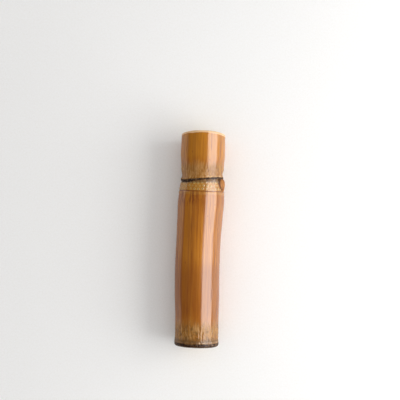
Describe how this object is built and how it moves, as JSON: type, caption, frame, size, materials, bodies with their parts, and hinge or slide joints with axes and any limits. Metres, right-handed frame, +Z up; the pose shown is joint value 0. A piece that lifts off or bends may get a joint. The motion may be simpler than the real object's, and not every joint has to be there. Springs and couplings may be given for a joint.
{
  "type": "sugarcane stalk",
  "caption": "Short cut length of sugarcane stalk lying on its side, with a ringed node, bud and root band near one end and a leaf scar at the other.",
  "frame": {"origin": "centre of the underside, on the surface that the stalk lies on, under the middle of its length and width", "axes": "+Y lengthwise, from the leaf scar at the lower cut end towards the short stub past the ringed node; +Z up; +X towards the bud's side"},
  "size_m": [0.0328, 0.1478, 0.032],
  "materials": {
    "cane_rind": "glossy amber-brown rind with fine lengthwise streaks, dull wax bands, dark leaf scars and pale fibrous cut ends"
  },
  "bodies": {
    "root": {"sugarcane_stalk": "cane_rind"}
  },
  "joints": []
}
